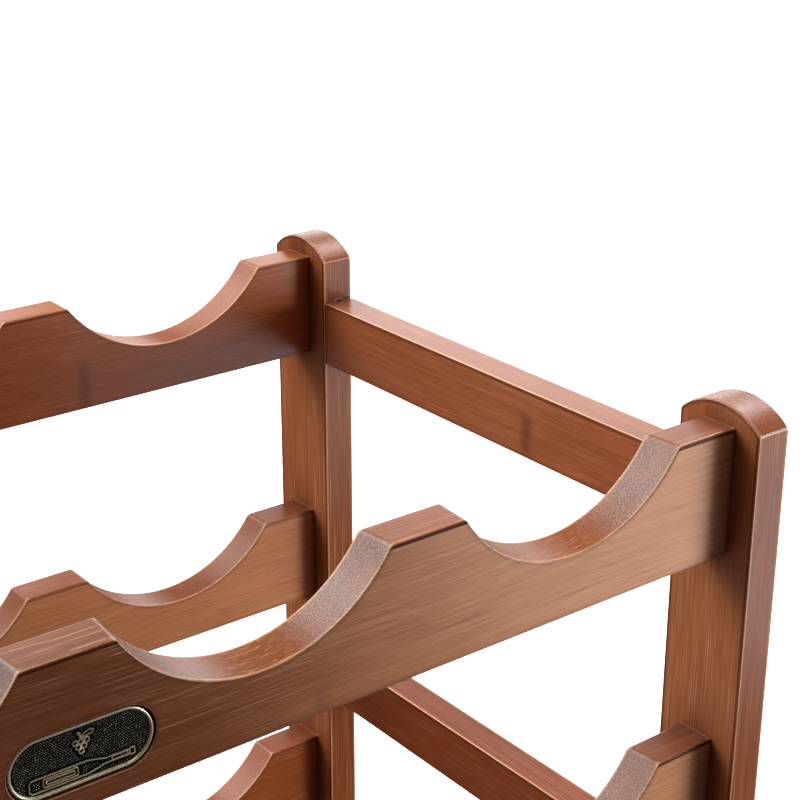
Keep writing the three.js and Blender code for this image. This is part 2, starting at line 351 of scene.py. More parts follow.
WOOD_DARK = (0.15, 0.039, 0.011)
WOOD_MID = (0.335, 0.104, 0.034)
WOOD_LIGHT = (0.58, 0.23, 0.095)
WOOD_SCRATCH = (0.74, 0.42, 0.24)
WOOD_RING = (0.06, 0.016, 0.010)
WOOD_END_DARK = (0.06, 0.030, 0.026)
WOOD_END = (0.17, 0.095, 0.082)
# pale speck colour of the fibre ends, partly a painted sheen
WOOD_END_SPECK_AND_SHEEN = (0.55, 0.44, 0.43)
# worn edge colour, partly a painted highlight
WORN_EDGE_AND_HIGHLIGHT = (1.0, 0.58, 0.30)
# a lit tan, painted light on the large faces
LIT_TAN_DARK = (0.54, 0.18, 0.068)
LIT_TAN_PALE = (1.0, 0.49, 0.245)
# painted sheen for the upward faces near the top of a piece
WOOD_TOP_SHEEN = (0.19, 0.09, 0.08)
# painted shade for the corners between the pieces
CORNER_SHADE_TINT = (0.36, 0.23, 0.15)
WOOD_SEAM = (0.07, 0.012, 0.006)


class Bamboo(Shader):
    """Carbonised bamboo under satin lacquer. grain is the axis that its fibres run along, and across_axis the
    one that the piece was extruded along: the two large faces look that way. look is one of LOOKS."""

    def __init__(self, node, grain, across_axis, seed, look):
        super().__init__(node + "_bamboo")
        self.look = look
        self.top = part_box(node)[1].z
        parts = dict(zip("XYZ", self.split(self.node("ShaderNodeTexCoord").outputs["Object"])))
        self.along = parts[grain]
        self.up = parts["Z"]
        cross = [parts[axis] for axis in "XYZ" if axis != grain]
        self.aside = cross[1]
        facing = dict(zip("XYZ", self.split(self.node("ShaderNodeNewGeometry").outputs["Normal"])))
        self.lean = self.math("ABSOLUTE", facing[across_axis])
        self.on_face = self.span(self.lean, 0.8, 0.97)
        self.slope = self.math("ABSOLUTE", facing[grain])
        self.end_cut = self.span(self.slope, 0.12, 0.5)
        self.upward = self.span(facing["Z"], 0.9, 1.0)
        self.crest = self.span(self.up, self.top - 8 * MM, self.top - 3 * MM)
        self.bowl = self.math("MULTIPLY", self.upward, self.math("SUBTRACT", 1, self.crest))

        # The fibres wander a little from side to side.
        self.offset = [seed * 1.37 % 5, seed * 2.11 % 7, seed * 3.73 % 11]
        slow = (self.math("MULTIPLY_ADD", p, 22, o) for p, o in zip((self.along, *cross), self.offset))
        drift = self.math("MULTIPLY_ADD", self.noise(self.join(*slow), 1), 1.2 * MM, -0.6 * MM)
        self.wander = [self.math("ADD", part, drift) for part in cross]

        self.fine = self.noise(self.stretched(28, 2900), 2, 0.7)
        self.fibre = self.noise(self.stretched(12, 1600, 3), 2, 0.6)
        self.band = self.noise(self.stretched(7, 300, 7), 2, 0.5)
        self.cloud = self.noise(self.stretched(14, 40, 11), 2, 0.5)
        tone = self.math("MULTIPLY", self.fine, 0.54)
        tone = self.math("MULTIPLY_ADD", self.fibre, 0.26, tone)
        tone = self.math("MULTIPLY_ADD", self.band, 0.10, tone)
        tone = self.math("MULTIPLY_ADD", self.cloud, 0.20, tone)
        reach = 0.22 / look.contrast
        self.level = self.span(tone, 0.55 - reach, 0.55 + reach, smooth=False)

    def stretched(self, along_scale, across_scale, shift=0):
        """The position with the fibres' direction first, for a noise with so many cells to the metre along
        the fibres and across them."""
        return self.join(
            self.math("MULTIPLY_ADD", self.along, along_scale, self.offset[0] + shift),
            self.math("MULTIPLY_ADD", self.wander[0], across_scale, self.offset[1]),
            self.math("MULTIPLY_ADD", self.wander[1], across_scale, self.offset[2]),
        )

    def stain(self):
        """The grain's colour. Upward faces near the top are blended toward a greyer colour as a painted
        sheen, and the bottoms of the scallops are darker as painted shade."""
        colour = self.ramp(self.level, [(0.0, WOOD_DARK), (0.5, WOOD_MID), (1.0, WOOD_LIGHT)])
        # Painted sheen: upward faces near the top are blended toward a greyer colour.
        top_sheen_share = self.math("MULTIPLY", self.math("MULTIPLY", self.upward, self.crest), self.look.top_sheen)
        colour = self.blend(top_sheen_share, colour, WOOD_TOP_SHEEN)
        # Painted shade: the bottoms of the scallops are made a fifth darker.
        return self.scaled(colour, self.math("MULTIPLY_ADD", self.bowl, -0.2, 1))

    def fibre_ends(self, colour):
        """Where a face cuts across the fibres it is stippled, and paler and greyer there, partly as a painted
        sheen, with light patches of painted sheen over it.
        """
        self.stipple = self.noise(self.stretched(2300, 3400, 23), 2, 0.8)
        stops = [(0.35, WOOD_END_DARK), (0.5, WOOD_END), (0.63, WOOD_END_SPECK_AND_SHEEN)]
        # Painted sheen: light patches over the cut fibre ends.
        sheen_patch = self.noise(self.stretched(90, 160, 29), 2, 0.5)
        ends = self.blend(self.span(sheen_patch, 0.40, 0.7, 0, 0.25), self.ramp(self.stipple, stops), WOOD_LIGHT)
        return self.blend(self.math("MULTIPLY", self.end_cut, self.look.end_grain), colour, ends)

    def node_rings(self, colour):
        """Dark rings where the cane had its nodes."""
        wave = self.math("MULTIPLY_ADD", self.fibre, 5 * MM, -2.5 * MM)
        for where, centre, half, strength in self.look.rings:
            distance = self.math("ABSOLUTE", self.math("SUBTRACT", self.math("ADD", self.along, wave), where))
            ring = self.span(distance, 4 * MM, 0.3 * MM)
            aside = self.math("ABSOLUTE", self.math("SUBTRACT", self.aside, centre))
            ring = self.math("MULTIPLY", ring, self.span(aside, half, half * 0.5))
            ring = self.math("MULTIPLY", ring, self.span(self.fine, 0.3, 0.65, 0.3 * strength, strength))
            colour = self.blend(ring, colour, WOOD_RING)
        return colour

    def tint_and_painted_light(self, colour):
        """The stain's own tint; then painted shade, where a stretch of the piece is made darker, and painted
        light, where the large faces are blended toward a lighter tan along the grain.
        """
        colour = self.blend(1.0, colour, self.look.tint, "MULTIPLY")
        # Painted shade: a stretch of the piece is darkened.
        if self.look.dark:
            colour = self.scaled(colour, self.span(self.along, *self.look.dark))
        if self.look.painted_light:
            # Painted light: the large faces are blended toward a lit tan.
            lit_tan = self.ramp(self.level, [(0.1, LIT_TAN_DARK), (0.9, LIT_TAN_PALE)])
            amount = self.math("MULTIPLY", self.on_face, self.span(self.along, *self.look.painted_light))
            colour = self.blend(amount, colour, lit_tan)
        return colour

    def scratches(self, colour):
        """Light scratches that the sanding left along the fibres, and darker hairlines between them."""
        scratch = self.noise(self.stretched(30, 3100, 17), 1, 0.5)
        patchy = self.span(self.cloud, 0.36, 0.56, 0.25, 1.0)
        light_lines = self.math("MULTIPLY", self.span(scratch, 0.60, 0.69), patchy)
        strength = self.look.scratches
        amount = self.span(self.slope, 0.04, 0.25, strength, 0.2 * strength)
        light_lines = self.math("MULTIPLY", light_lines, amount)
        colour = self.blend(self.math("MULTIPLY", light_lines, 0.5), colour, WOOD_SCRATCH)
        dark_lines = self.math("MULTIPLY", self.span(scratch, 0.36, 0.26), 0.45)
        return self.blend(dark_lines, colour, WOOD_DARK)

    def edges(self, colour):
        """A dark seam just inside a face, a dark line just below the uppermost edges, stain worn thin over
        the rounding itself with a painted highlight on it, and painted shade in the corners between the
        pieces."""
        edge = self.openness(1.5 * MM, inside=True)
        seam = self.span(self.lean, 0.88, 0.97, 0, self.look.seam)
        colour = self.blend(self.math("MULTIPLY", self.span(edge, 0.96, 0.82), seam), colour, WOOD_SEAM)
        top_seam = self.span(self.up, self.top - 1.4 * MM, self.top - 1.15 * MM, 0, self.look.top_seam)
        self.top_seam = self.math("MULTIPLY", top_seam, self.span(self.lean, 0.55, 0.85))
        colour = self.blend(self.top_seam, colour, WOOD_SEAM)
        # Worn edges with a painted highlight: the rounding is lighter and more orange.
        rubbed_and_highlit = self.math("MULTIPLY", self.span(edge, 0.80, 0.62), self.span(self.lean, 0.95, 0.75))
        rubbed_and_highlit = self.math("MULTIPLY", rubbed_and_highlit, self.span(self.fibre, 0.3, 0.6, 0.6, 1.0))
        colour = self.blend(rubbed_and_highlit, colour, WORN_EDGE_AND_HIGHLIGHT)
        # Painted shade: colour darkened and browned in the corners between the pieces, found by occlusion.
        corner_shade = self.ramp(self.openness(24 * MM), [(0.45, CORNER_SHADE_TINT), (0.95, (1, 1, 1))])
        return self.blend(1.0, colour, corner_shade, "MULTIPLY")

    def lacquer(self):
        """The sheen, duller along the seams and in the scallops, and the relief of the fibres."""
        gloss = self.span(self.lean, 0.3, 0.9, *self.look.gloss)
        gloss = self.math("MULTIPLY_ADD", self.end_cut, 0.25, gloss)
        gloss = self.math("MULTIPLY", gloss, self.math("MULTIPLY_ADD", self.top_seam, -0.9, 1))
        gloss = self.math("MULTIPLY", gloss, self.math("MULTIPLY_ADD", self.bowl, -0.45, 1))
        self.set("Specular IOR Level", gloss)
        rough = self.math("MULTIPLY_ADD", self.fibre, 0.16, self.look.roughness)
        self.set("Roughness", self.math("MULTIPLY_ADD", self.end_cut, 0.04, rough))
        self.set("IOR", 1.5)
        height = self.math("MULTIPLY_ADD", self.fine, 0.5, self.math("MULTIPLY", self.fibre, 0.6))
        pits = self.math("MULTIPLY", self.stipple, self.end_cut)
        self.set("Normal", self.bump(self.math("MULTIPLY_ADD", pits, 2.6, height), 0.05 * MM, 0.6))


def bamboo(node, grain, across_axis, seed, look):
    """The material of one wooden piece, from the stain up to the lacquer."""
    wood = Bamboo(node, grain, across_axis, seed, look)
    colour = wood.stain()
    for layer in (wood.fibre_ends, wood.node_rings, wood.tint_and_painted_light, wood.scratches, wood.edges):
        colour = layer(colour)
    wood.set("Base Color", colour)
    wood.lacquer()
    return wood.material


def dowel_wood():
    s = Shader("dowel_beech")
    position = s.node("ShaderNodeTexCoord").outputs["Object"]
    x, y, z = s.split(position)
    stretched = (s.math("MULTIPLY", part, scale) for part, scale in ((x, 60), (y, 1500), (z, 1500)))
    fibre = s.noise(s.join(*stretched), 3)
    s.set("Base Color", s.ramp(fibre, [(0.3, (0.42, 0.24, 0.12)), (0.7, (0.68, 0.46, 0.27))]))
    s.set("Roughness", s.span(fibre, 0.3, 0.7, 0.55, 0.75))
    s.set("Normal", s.bump(fibre, 0.05 * MM, 0.5))
    return s.material


def black_steel():
    s = Shader("screw_black_steel")
    position = s.node("ShaderNodeTexCoord").outputs["Object"]
    mottle = s.noise(position, 4, 0.6, scale=900)
    s.set("Base Color", s.ramp(mottle, [(0.3, (0.018, 0.016, 0.015)), (0.75, (0.07, 0.062, 0.055))]))
    s.set("Metallic", 0.85)
    s.set("Roughness", s.span(mottle, 0.3, 0.7, 0.28, 0.5))
    s.set("Normal", s.bump(mottle, 0.02 * MM, 0.4))
    return s.material


def brass():
    s = Shader("badge_brass")
    position = s.node("ShaderNodeTexCoord").outputs["Object"]
    tarnish = s.noise(position, 4, 0.65, scale=420)
    s.set("Base Color", s.ramp(tarnish, [(0.3, (0.80, 0.64, 0.38)), (0.7, (1.0, 0.88, 0.62))]))
    s.set("Metallic", 0.65)
    s.set("Roughness", s.span(tarnish, 0.3, 0.7, 0.36, 0.24))
    s.set("Normal", s.bump(tarnish, 0.02 * MM, 0.4))
    return s.material


def black_field(ground):
    """Black enamel, worn through to the brass on the tips that stand out in front of Y ground."""
    s = Shader("badge_black_field")
    position = s.node("ShaderNodeTexCoord").outputs["Object"]
    grime = s.noise(position, 3, 0.6, scale=700)
    enamel = s.ramp(grime, [(0.3, (0.002, 0.002, 0.002)), (0.75, (0.008, 0.008, 0.008))])
    height = s.math("SUBTRACT", ground, s.split(position)[1])
    worn = s.math("MULTIPLY", s.span(height, 0.10 * MM, 0.19 * MM), s.span(grime, 0.3, 0.7, 0.5, 0.8))
    s.set("Base Color", s.blend(worn, enamel, (0.85, 0.74, 0.52)))
    s.set("Metallic", s.math("MULTIPLY", worn, 0.7))
    s.set("Roughness", s.span(grime, 0.3, 0.7, 0.3, 0.42))
    s.set("Specular IOR Level", s.math("MULTIPLY_ADD", worn, 0.4, 0.12))
    s.set("Normal", s.bump(grime, 0.01 * MM, 0.3))
    return s.material


def foam():
    s = Shader("foam_tape")
    cells = s.noise(s.node("ShaderNodeTexCoord").outputs["Object"], 4, 0.7, scale=2500)
    s.set("Base Color", s.ramp(cells, [(0.35, (0.01, 0.01, 0.01)), (0.7, (0.05, 0.05, 0.05))]))
    s.set("Roughness", s.span(cells, 0.3, 0.7, 0.8, 0.95))
    s.set("Normal", s.bump(cells, 0.1 * MM, 0.6))
    return s.material


# ---- wooden pieces ----


def dress(piece, node, material):
    """Gives a new piece its material and puts it in the CAD node's place."""
    piece.data.materials.clear()
    piece.data.materials.append(material)
    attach(piece, "root")
    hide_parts(node)
    return piece


def rail_outline(low, high, depth, taper=0):
    """A scalloped rail's outline in X and Z. taper makes the scallops' radius smaller round the same
    centres."""
    radius, half_angle = chord_circle(SCALLOP_CHORD, depth)
    centre_z = high.z + radius - depth
    radius -= taper
    half_angle = math.acos((centre_z - high.z) / radius)
    down = -math.pi / 2
    middle = (low.x + high.x) / 2
    outline = [(low.x, low.z), (high.x, low.z), (high.x, high.z)]
    count = round((high.x - low.x) // BOTTLE_PITCH)
    for i in reversed(range(count)):
        x = middle + (i - (count - 1) / 2) * BOTTLE_PITCH
        outline += arc((x, centre_z), radius, down + half_angle, down - half_angle)
    return outline + [(low.x, high.z)]


def end_bores(name, low, high, y):
    """Cutters for the screw's and the dowel's holes in both ends of a rail."""
    cutters = []
    row, tier = name.split("_")[0], name[-1]
    for side, sign in SIDES.items():
        for kind, radius in (("screw", PILOT_RADIUS), ("dowel", DOWEL_HOLE_RADIUS)):
            inner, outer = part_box(f"{kind}_{row}_{side}_{tier}")
            reach = (inner.x - HOLE_SPARE, high.x + HOLE_SPARE)
            if sign < 0:
                reach = (low.x - HOLE_SPARE, outer.x + HOLE_SPARE)
            cutters.append(bar("bore", "X", radius, *reach, y, middle(inner, outer)[2]))
    return cutters


def build_rail(node, material):
    low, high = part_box(node)
    row = node.split("_")[0]
    near, far = (rail_outline(low, high, SCALLOP_DEPTH[row], taper) for taper in (0, SCALLOP_TAPER[row]))
    piece = prism(node + "_wood", near, "Y", low.y, high.y, far)
    soften(piece, ARRIS, ("X", high.x), lambda edge: min(v.co.z for v in edge.verts) < high.z - TOUCHING)
    cutters = end_bores(node, low, high, middle(low, high)[1])
    if node == f"front_rail_tier_{TIERS}":
        plate_low, plate_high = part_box("badge_plate")
        gap = 2 * BADGE_POCKET_GAP
        size = plate_high - plate_low
        x, _, z = middle(plate_low, plate_high)
        outline = slot_outline((x, z), size.x + gap, size.z + gap, steps=24)
        cutters.append(prism("pocket", outline, "Y", low.y - HOLE_SPARE, low.y + BADGE_POCKET_DEPTH))
        lip = POCKET_LIP
        wide = slot_outline((x, z), size.x + gap + 4 * lip, size.z + gap + 4 * lip, steps=24)
        cutters.append(prism("pocket_lip", wide, "Y", low.y - lip, low.y + lip, outline))
    carve(piece, cutters)
    dress(settle(piece, cutters), node, material)


def post_outline(low, high):
    """A post's outline in Y and Z, with its crowned top."""
    radius, half_angle = chord_circle(high.y - low.y, POST_CROWN)
    up = math.pi / 2
    crown = arc((middle(low, high)[1], high.z - radius), radius, up - half_angle, up + half_angle)
    return [(low.y, low.z), (high.y, low.z), *crown]


def post_cutters(node, low, high):
    row, side, _ = node.split("_")
    sign = SIDES[side]
    inner_x, outer_x = (low.x, high.x) if sign > 0 else (high.x, low.x)
    floor_x = outer_x - sign * COUNTERBORE_DEPTH
    past_x = outer_x + sign * HOLE_SPARE
    start_x = inner_x - sign * HOLE_SPARE
    y = middle(low, high)[1]
    cutters = []
    for tier in range(1, TIERS + 1):
        z = middle(*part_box(f"screw_{row}_{side}_{tier}"))[2]
        cutters.append(bar("clearance", "X", PILOT_RADIUS, *sorted((start_x, past_x)), y, z))
        cutters.append(bar("counterbore", "X", COUNTERBORE_RADIUS, *sorted((floor_x, past_x)), y, z, 48))
        dowel_low, dowel_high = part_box(f"dowel_{row}_{side}_{tier}")
        end_x = (dowel_high.x if sign > 0 else dowel_low.x) + sign * HOLE_SPARE / 2
        z = middle(dowel_low, dowel_high)[2]
        cutters.append(bar("dowel_hole", "X", DOWEL_HOLE_RADIUS, *sorted((start_x, end_x)), y, z))
    for level in LEVELS:
        rail_low, rail_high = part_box(f"{side}_side_rail_{level}")
        height = rail_high.z - rail_low.z - 2 * TENON_SHOULDER + 2 * MORTISE_END_GAP
        x, _, z = middle(rail_low, rail_high)
        outline = slot_outline((x, z), height, TENON_THICKNESS + 2 * MORTISE_SIDE_GAP, True)
        inwards = -ROWS[row]
        edge = high.y if inwards > 0 else low.y
        reach = sorted((edge - inwards * MORTISE_DEPTH, edge + inwards * HOLE_SPARE))
        cutters.append(prism("mortise", outline, "Y", *reach))
    return cutters


def build_post(node, material):
    low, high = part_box(node)
    piece = prism(node + "_wood", post_outline(low, high), "X", low.x, high.x)
    foot = high.z - POST_CROWN
    soften(piece, CROWN_ARRIS, crisp=lambda edge: min(v.co.z for v in edge.verts) < foot - TOUCHING)
    cutters = post_cutters(node, low, high)
    carve(piece, cutters)
    dress(settle(piece, cutters), node, material)


def build_side_rail(node, material):
    low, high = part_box(node)
    near, far = low.y + TENON_LENGTH, high.y - TENON_LENGTH
    outline = [(near, low.z), (far, low.z), (far, high.z), (near, high.z)]
    piece = prism(node + "_wood", outline, "X", low.x, high.x)
    soften(piece, ARRIS, ("Y", far))
    x, _, z = middle(low, high)
    tenon = slot_outline((x, z), high.z - low.z - 2 * TENON_SHOULDER, TENON_THICKNESS, True)
    tenons = prism("tenons", tenon, "Y", low.y, high.y)
    union = piece.modifiers.new("tenons", "BOOLEAN")
    union.operation = "UNION"
    union.solver = "EXACT"
    union.object = tenons
    dress(settle(piece, [tenons]), node, material)


@dataclasses.dataclass(frozen=True)
class Look:
    """How a piece is stained and lacquered, with light and shade painted into some of its colour. tint
    multiplies the stain's colour, and contrast is that of the grain. end_grain, top_sheen and scratches say
    how strongly fibre ends with their partly painted sheen, the painted sheen on upward faces near the top,
    and scratches show, and seam and top_seam how dark the lines beside the edges and beside the uppermost
    edges are. gloss is (on the sides, on the two large faces). dark, which paints shade, and painted_light,
    which blends the large faces toward a lit tan, are (from, to, value there, value there) along the grain. A
    ring, left by a node of the cane, is (place along the grain, middle across it, half height, strength)."""

    tint: tuple = (1, 1, 1)
    end_grain: float = 0.75
    top_sheen: float = 0.15
    gloss: tuple = (0.45, 0.45)
    roughness: float = 0.25
    contrast: float = 1.0
    scratches: float = 1.0
    seam: float = 0.3
    top_seam: float = 0.95
    dark: tuple = ()
    painted_light: tuple = ()
    rings: tuple = ()


LOOKS = {
    "front": Look((1.0, 0.88, 0.78), top_sheen=0.3, gloss=(0.38, 0.38), contrast=0.85),
    "back": Look(
        (1.04, 0.76, 0.44),
        end_grain=0.15,
        top_sheen=0.1,
        gloss=(0.40, 0.42),
        contrast=0.7,
        scratches=0.45,
        top_seam=0.5,
    ),
    "front_post": Look(
        (0.92, 0.77, 0.68),
        end_grain=0.15,
        gloss=(0.26, 0.32),
        roughness=0.15,
        contrast=0.75,
        # Painted light: the large faces a little lighter.
        painted_light=(0, 1 * MM, 0.24, 0.24),
        seam=0.8,
        top_seam=0,
    ),
    "side": Look((1.10, 1.00, 1.02), end_grain=0.5, contrast=0.75, scratches=0.6, top_seam=0.4),
}
# The back posts get weaker painted light on their large faces.
LOOKS["back_post"] = dataclasses.replace(LOOKS["front_post"], painted_light=(0, 1 * MM, 0.1, 0.1))
# The top front rail: painted shade darkens its left and painted light brightens the right of its large faces.
LOOKS["front_rail_tier_4"] = dataclasses.replace(
    LOOKS["front"],
    dark=(5 * MM, 120 * MM, 0.68, 1.0),
    painted_light=(22 * MM, 146 * MM, 0, 0.9),
    rings=((67 * MM, 338 * MM, 8 * MM, 0.5), (182 * MM, 352 * MM, 16 * MM, 0.25)),
)
# The lower front rail: painted light brightens the right end of its large faces.
LOOKS["front_rail_tier_3"] = dataclasses.replace(
    LOOKS["front"], end_grain=0.6, painted_light=(130 * MM, 190 * MM, 0, 0.7)
)
LOOKS["back_rail_tier_4"] = dataclasses.replace(LOOKS["back"], rings=((116 * MM, 346 * MM, 12 * MM, 0.7),))
# The lower back rail: painted shade over all of it and painted light on its large faces.
LOOKS["back_rail_tier_3"] = dataclasses.replace(
    LOOKS["back"], gloss=(0.25, 0.25), dark=(0, 1 * MM, 0.75, 0.75), painted_light=(0, 150 * MM, 0.45, 0.65)
)
LOOKS["right_side_rail_top"] = dataclasses.replace(LOOKS["side"], rings=((-22 * MM, 344 * MM, 9 * MM, 0.7),))
LOOKS["right_side_rail_middle"] = dataclasses.replace(
    LOOKS["side"], tint=(0.74, 0.49, 0.33), gloss=(0.3, 0.3)
)


def build_wood():
    seeds = itertools.count(2)

    def stained(node, kind, grain, across_axis):
        return bamboo(node, grain, across_axis, next(seeds), LOOKS.get(node, LOOKS[kind]))

    for row in ROWS:
        for tier in range(1, TIERS + 1):
            node = f"{row}_rail_tier_{tier}"
            build_rail(node, stained(node, row, "X", "Y"))
    for side in SIDES:
        for row in ROWS:
            node = f"{row}_{side}_post"
            build_post(node, stained(node, f"{row}_post", "Z", "X"))
        for level in LEVELS:
            node = f"{side}_side_rail_{level}"
            build_side_rail(node, stained(node, "side", "Y", "X"))


# ---- screws and dowels ----


def loft(name, sections, steps=36):
    """A closed body turned about X. Each section is (X, function of the angle that gives the radius)."""
    rings = []
    for x, radius in sections:
        angles = (2 * math.pi * i / steps for i in range(steps))
        rings.append([(x, radius(a) * math.cos(a), radius(a) * math.sin(a)) for a in angles])
    return skinned(name, rings)


def circle(radius):
    return lambda angle: radius


def hexagon(corner_radius):
    side = math.pi / 3
    return lambda angle: corner_radius * math.cos(side / 2) / math.cos(angle % side - side / 2)


def fluted(radius, depth, flutes=12):
    return lambda angle: radius - depth * (0.5 + 0.5 * math.cos(flutes * angle))


def screw_mesh():
    """A flat-headed furniture screw that points along -X, with the top of its head at 0."""
    sections = [
        (-SOCKET_DEPTH, hexagon(SOCKET_RADIUS)),
        (-0.25 * MM, hexagon(SOCKET_RADIUS)),
        (-0.02 * MM, hexagon(SOCKET_RADIUS + 0.25 * MM)),
        (-0.02 * MM, circle(SCREW_HEAD_RADIUS - 0.7 * MM)),
        (-0.12 * MM, circle(SCREW_HEAD_RADIUS - 0.35 * MM)),
        (-0.32 * MM, circle(SCREW_HEAD_RADIUS - 0.1 * MM)),
        (-0.6 * MM, circle(SCREW_HEAD_RADIUS)),
        (-SCREW_HEAD_HEIGHT, circle(SCREW_HEAD_RADIUS)),
        (-SCREW_HEAD_HEIGHT, circle(SCREW_RADIUS)),
    ]
    thread_start = SCREW_HEAD_HEIGHT + SCREW_SHANK_LENGTH
    turns = int((SCREW_LENGTH - thread_start - SCREW_TIP_LENGTH + SCREW_HEAD_HEIGHT) / THREAD_PITCH)
    for turn in range(turns):
        x = -thread_start - turn * THREAD_PITCH
        sections += [(x, circle(THREAD_ROOT)), (x - THREAD_PITCH / 2, circle(SCREW_RADIUS))]
    end = SCREW_HEAD_HEIGHT + SCREW_LENGTH
    sections += [(SCREW_TIP_LENGTH - end, circle(THREAD_ROOT)), (-end, circle(SCREW_TIP_RADIUS))]
    return loft("screw", sections)


def dowel_mesh(length):
    """A fluted dowel, centred on the origin."""
    half = length / 2
    flutes = fluted(DOWEL_RADIUS, 0.25 * MM)
    tip = circle(DOWEL_RADIUS - DOWEL_CHAMFER)
    ends = [(-half, tip), (DOWEL_CHAMFER - half, flutes)]
    return loft("dowel", ends + [(half - DOWEL_CHAMFER, flutes), (half, tip)])


def build_fasteners():
    first_low, first_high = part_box("dowel_front_left_1")
    screw, dowel = screw_mesh(), dowel_mesh(first_high.x - first_low.x)
    steel, beech = black_steel(), dowel_wood()
    for row in ROWS:
        for side, sign in SIDES.items():
            for tier in range(1, TIERS + 1):
                for kind, mesh, slot, material in (
                    ("screw", screw, "screw_steel", steel),
                    ("dowel", dowel, "dowel_wood", beech),
                ):
                    node = f"{kind}_{row}_{side}_{tier}"
                    low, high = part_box(node)
                    piece = new_object(f"{node}_piece", mesh)
                    x, y, z = middle(low, high)
                    if kind == "screw":
                        x = high.x if sign > 0 else low.x
                    piece.location = (x, y, z)
                    piece.rotation_euler = (0, 0, 0 if sign > 0 else math.pi)
                    dress(piece, node, material)


# ---- badge ----


def badge_shell(name, centre, size, profile, steps=40):
    """A closed body round a slot's outline. Each point of its profile is (inset from the outline, Y)."""
    rings = []
    for inset, y in profile:
        outline = slot_outline(centre, size[0] - 2 * inset, size[1] - 2 * inset, steps=steps)
        rings.append([place("Y", a, b, y) for a, b in outline])
    return new_object(name, skinned(name, rings))


def rounded_box(left, right, bottom, top, radius, steps=5):
    """A closed outline with round corners."""
    corners = [
        (right - radius, top - radius, 0),
        (left + radius, top - radius, 1),
        (left + radius, bottom + radius, 2),
        (right - radius, bottom + radius, 3),
    ]
    quarter = math.pi / 2
    return [p for x, z, q in corners for p in arc((x, z), radius, q * quarter, (q + 1) * quarter, steps)]


def emblem():
    """The badge's raised outlines about its centre: a bunch of grapes over a bottle that lies on its side.
    They are written here in millimetres and returned in metres."""
    grapes = []
    for count, z in ((3, 2.9), (2, 1.65), (1, 0.4)):
        for i in range(count):
            grapes.append(arc(((i - (count - 1) / 2) * 1.45, z), 0.62, 0, 2 * math.pi, 14)[:-1])
    leaf = [(0.2, 3.8), (0.9, 4.9), (2.2, 5.3), (3.3, 4.9), (2.9, 4.2), (2.0, 4.1), (1.1, 3.9)]
    stem = [(-0.15, 3.8), (-0.3, 4.6), (-0.9, 5.4), (-0.6, 5.5), (0.0, 4.7), (0.15, 3.9)]
    axis_z = -4.25
    upper = [(-13.2, -3.1), (-12.6, -2.55), (1.2, -2.55), (3.4, -3.0), (5.6, -3.6), (11.6, -3.6)]
    bottle = upper + [(x, 2 * axis_z - z) for x, z in reversed(upper)]
    lip = rounded_box(11.9, 13.2, -5.1, -3.4, 0.3)
    label = rounded_box(-9.8, -1.2, -5.3, -3.2, 0.4)
    inner = rounded_box(-9.0, -2.0, -4.7, -3.8, 0.3)
    capsule = rounded_box(7.4, 11.2, -4.75, -3.75, 0.2)
    lines = grapes + [leaf, stem, bottle, lip, label, inner, capsule]
    return [[(x * MM, z * MM) for x, z in line] for line in lines]


def ridge(bm, points, width, base, top):
    """A closed outline drawn as a raised line with sloping sides, from Y base out to Y top."""
    count = len(points)
    sections = []
    for i, point in enumerate(points):
        before, after = Vector(points[i - 1]), Vector(points[(i + 1) % count])
        tangent = (after - before).normalized()
        across = Vector((-tangent.y, tangent.x)) * width / 2
        section = []
        for sideways, y in ((-1, base), (-RIDGE_CREST, top), (RIDGE_CREST, top), (1, base)):
            at = Vector(point) + across * sideways
            section.append(bm.verts.new(place("Y", at.x, at.y, y)))
        sections.append(section)
    for i in range(count):
        ring, following = sections[i], sections[(i + 1) % count]
        for k in range(4):
            m = (k + 1) % 4
            bm.faces.new((ring[k], ring[m], following[m], following[k]))


def distance_to(point, line):
    """The distance from a point to a closed outline."""
    best = math.inf
    for i, end in enumerate(line):
        start = line[i - 1]
        dx, dz = end[0] - start[0], end[1] - start[1]
        t = ((point[0] - start[0]) * dx + (point[1] - start[1]) * dz) / (dx * dx + dz * dz)
        t = min(1, max(0, t))
        best = min(best, math.hypot(start[0] + t * dx - point[0], start[1] + t * dz - point[1]))
    return best


def knurl(bm, centre, size, base, top, lines):
    """Rows of little pyramids over the badge's field, with clear ground left round the raised lines."""
    pitch = KNURL_PITCH
    rows = int(size[1] / pitch) + 1
    columns = int(size[0] / pitch) + 1
    reach = size[0] / 2 - size[1] / 2
    corners = ((pitch / 2, 0), (0, pitch / 2), (-pitch / 2, 0), (0, -pitch / 2))
    for row in range(-rows, rows + 1):
        for column in range(-columns, columns + 1):
            if (row + column) % 2:
                continue
            x, z = column * pitch / 2, row * pitch / 2
            past = max(abs(x) - reach, 0)
            if math.hypot(past, z) > size[1] / 2 - pitch / 2:
                continue
            if any(distance_to((x, z), line) < KNURL_CLEARANCE for line in lines):
                continue
            at_x, at_z = centre[0] + x, centre[1] + z
            ring = [bm.verts.new(place("Y", at_x + dx, at_z + dz, base)) for dx, dz in corners]
            tip = bm.verts.new(place("Y", at_x, at_z, top))
            bm.faces.new(ring)
            for i in range(4):
                bm.faces.new((ring[i], ring[(i + 1) % 4], tip))


def badge_relief(name, draw):
    bm = bmesh.new()
    draw(bm)
    return new_object(name, finished(bm, name))


